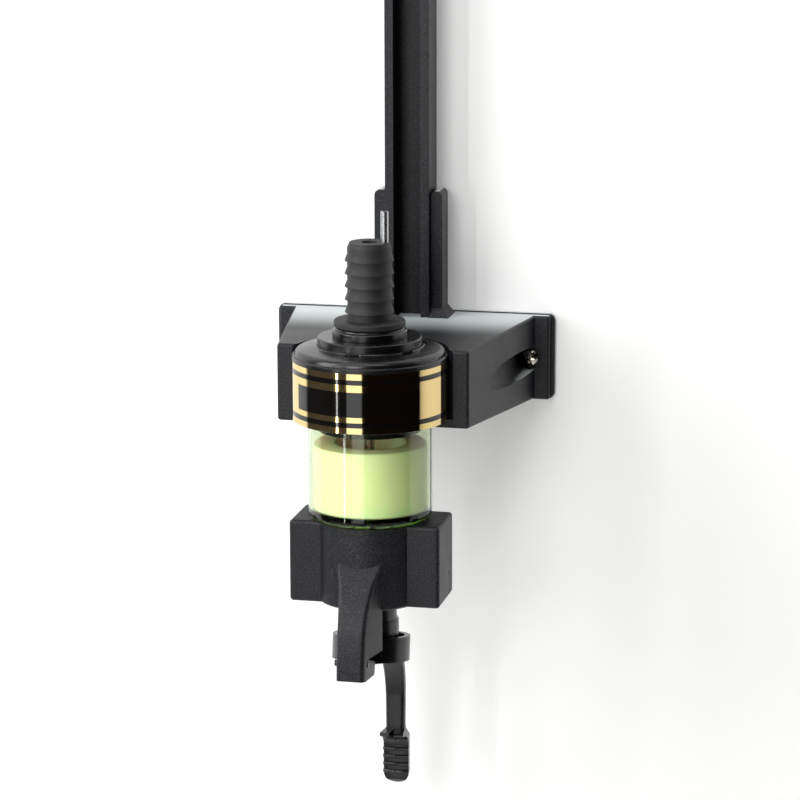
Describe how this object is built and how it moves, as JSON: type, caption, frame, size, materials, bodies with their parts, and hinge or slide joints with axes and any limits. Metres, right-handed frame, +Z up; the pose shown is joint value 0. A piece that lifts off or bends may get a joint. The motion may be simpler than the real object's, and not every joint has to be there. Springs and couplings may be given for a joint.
{
  "type": "liquor optic dispenser",
  "caption": "Wall bracket with a bottle rail and sprung bottle steady, holding a pull-out measuring head whose lever lifts the spout to pour one measure.",
  "frame": {"origin": "middle of the wall plate's back face, on the line of the two wall screws", "axes": "+X right seen from the front, +Y into the wall, +Z up along the bottle's axis"},
  "size_m": [0.115, 0.1447, 0.5737],
  "materials": {
    "grained_plastic": "black moulded ABS with a fine spark-eroded grain",
    "gloss_plastic": "black polished moulding",
    "steel": "bright stainless steel",
    "nickel": "nickel-plated screw steel",
    "rubber": "black food-grade rubber",
    "foil": "gold mirror foil with printed black panels",
    "clear_plastic": "clear moulded cup, polished",
    "white_plastic": "white moulded plastic"
  },
  "bodies": {
    "bracket": {"wall_plate": "grained_plastic", "bracket_body": "grained_plastic", "wall_screws": "nickel", "assembly_screws": "steel", "bottle_rail": "grained_plastic", "rail_end_cap": "grained_plastic"},
    "steady": {"steady_arm": "grained_plastic"},
    "knob": {"clamp_knob": "gloss_plastic", "clamp_screw": "steel"},
    "plunger": {"pressure_plate": "grained_plastic", "punt_pad": "rubber", "plunger_rod": "steel", "rod_clip": "steel", "plunger_spring": "steel"},
    "head": {"top_cap": "gloss_plastic", "collar_ring": "gloss_plastic", "label_band": "foil", "stopper_base": "gloss_plastic", "bottle_stopper": "rubber", "breather_tube": "steel", "chamber": "clear_plastic", "chamber_gasket": "rubber", "measure_ring": "white_plastic", "lower_housing": "grained_plastic", "housing_gasket": "rubber", "guide_bush": "white_plastic", "hinge_pin": "steel"},
    "spout": {"spout": "gloss_plastic", "valve_rod": "steel", "inlet_seal": "rubber", "outlet_seal": "rubber", "valve_spring": "steel"},
    "lever": {"lever": "gloss_plastic"}
  },
  "joints": [
    {"name": "head_pull", "type": "slide", "parent": "bracket", "child": "head", "axis": [0, -1, 0], "range_m": [0, 0.06]},
    {"name": "lever_press", "type": "hinge", "parent": "head", "child": "lever", "pos_m": [0, -0.1135, -0.0995], "axis": [1, 0, 0], "range_deg": [0, 11.4], "stiffness_Nm_per_rad": 0.36, "springref_deg": -15.47},
    {"name": "spout_lift", "type": "slide", "parent": "head", "child": "spout", "axis": [0, 0, 1], "range_m": [0, 0.006], "deforming": ["valve_spring"]},
    {"name": "steady_slide", "type": "slide", "parent": "bracket", "child": "steady", "axis": [0, 0, 1], "range_m": [-0.12, 0.015]},
    {"name": "knob_turn", "type": "hinge", "parent": "steady", "child": "knob", "pos_m": [0, -0.0318, 0.3431], "axis": [0, -1, 0], "range_deg": [-360, 0]},
    {"name": "plunger_push", "type": "slide", "parent": "steady", "child": "plunger", "axis": [0, 0, 1], "range_m": [0, 0.014], "stiffness_N_per_m": 300, "springref_m": -0.01, "deforming": ["plunger_spring"]}
  ],
  "couplings": [
    {"joint": "spout_lift", "follows": "lever_press", "m_per_rad": 0.0299}
  ]
}
